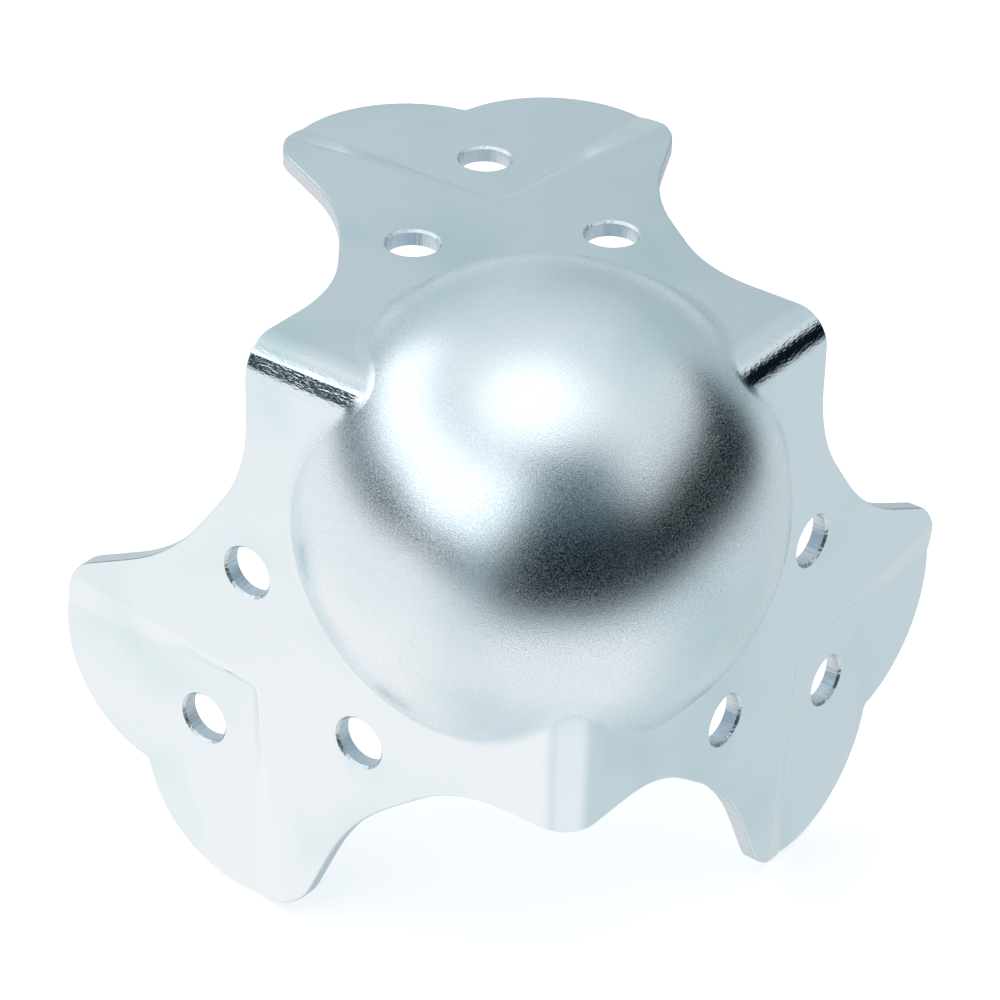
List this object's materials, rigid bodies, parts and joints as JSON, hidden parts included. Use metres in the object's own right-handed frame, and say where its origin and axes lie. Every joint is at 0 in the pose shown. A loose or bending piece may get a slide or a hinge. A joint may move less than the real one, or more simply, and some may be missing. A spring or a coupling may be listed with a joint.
{
  "type": "flight case corner",
  "caption": "Pressed steel ball corner for a flight case: wings with cranked tips, rivet holes and ridges round a hollow ball that takes knocks.",
  "frame": {"origin": "the point where the inner faces of the wings, which lie on the case's edging, would meet", "axes": "+Z out of the top wing, +X out of the right wing and -Y out of the left wing; the case fills -X, +Y and -Z"},
  "size_m": [0.069, 0.069, 0.069],
  "materials": {
    "zinc_plate": "bright zinc plate with a blue passivate on pressed steel, satin and fine-grained on the ball, smoother on the wings"
  },
  "bodies": {
    "root": {"ball_corner": "zinc_plate"}
  },
  "joints": []
}
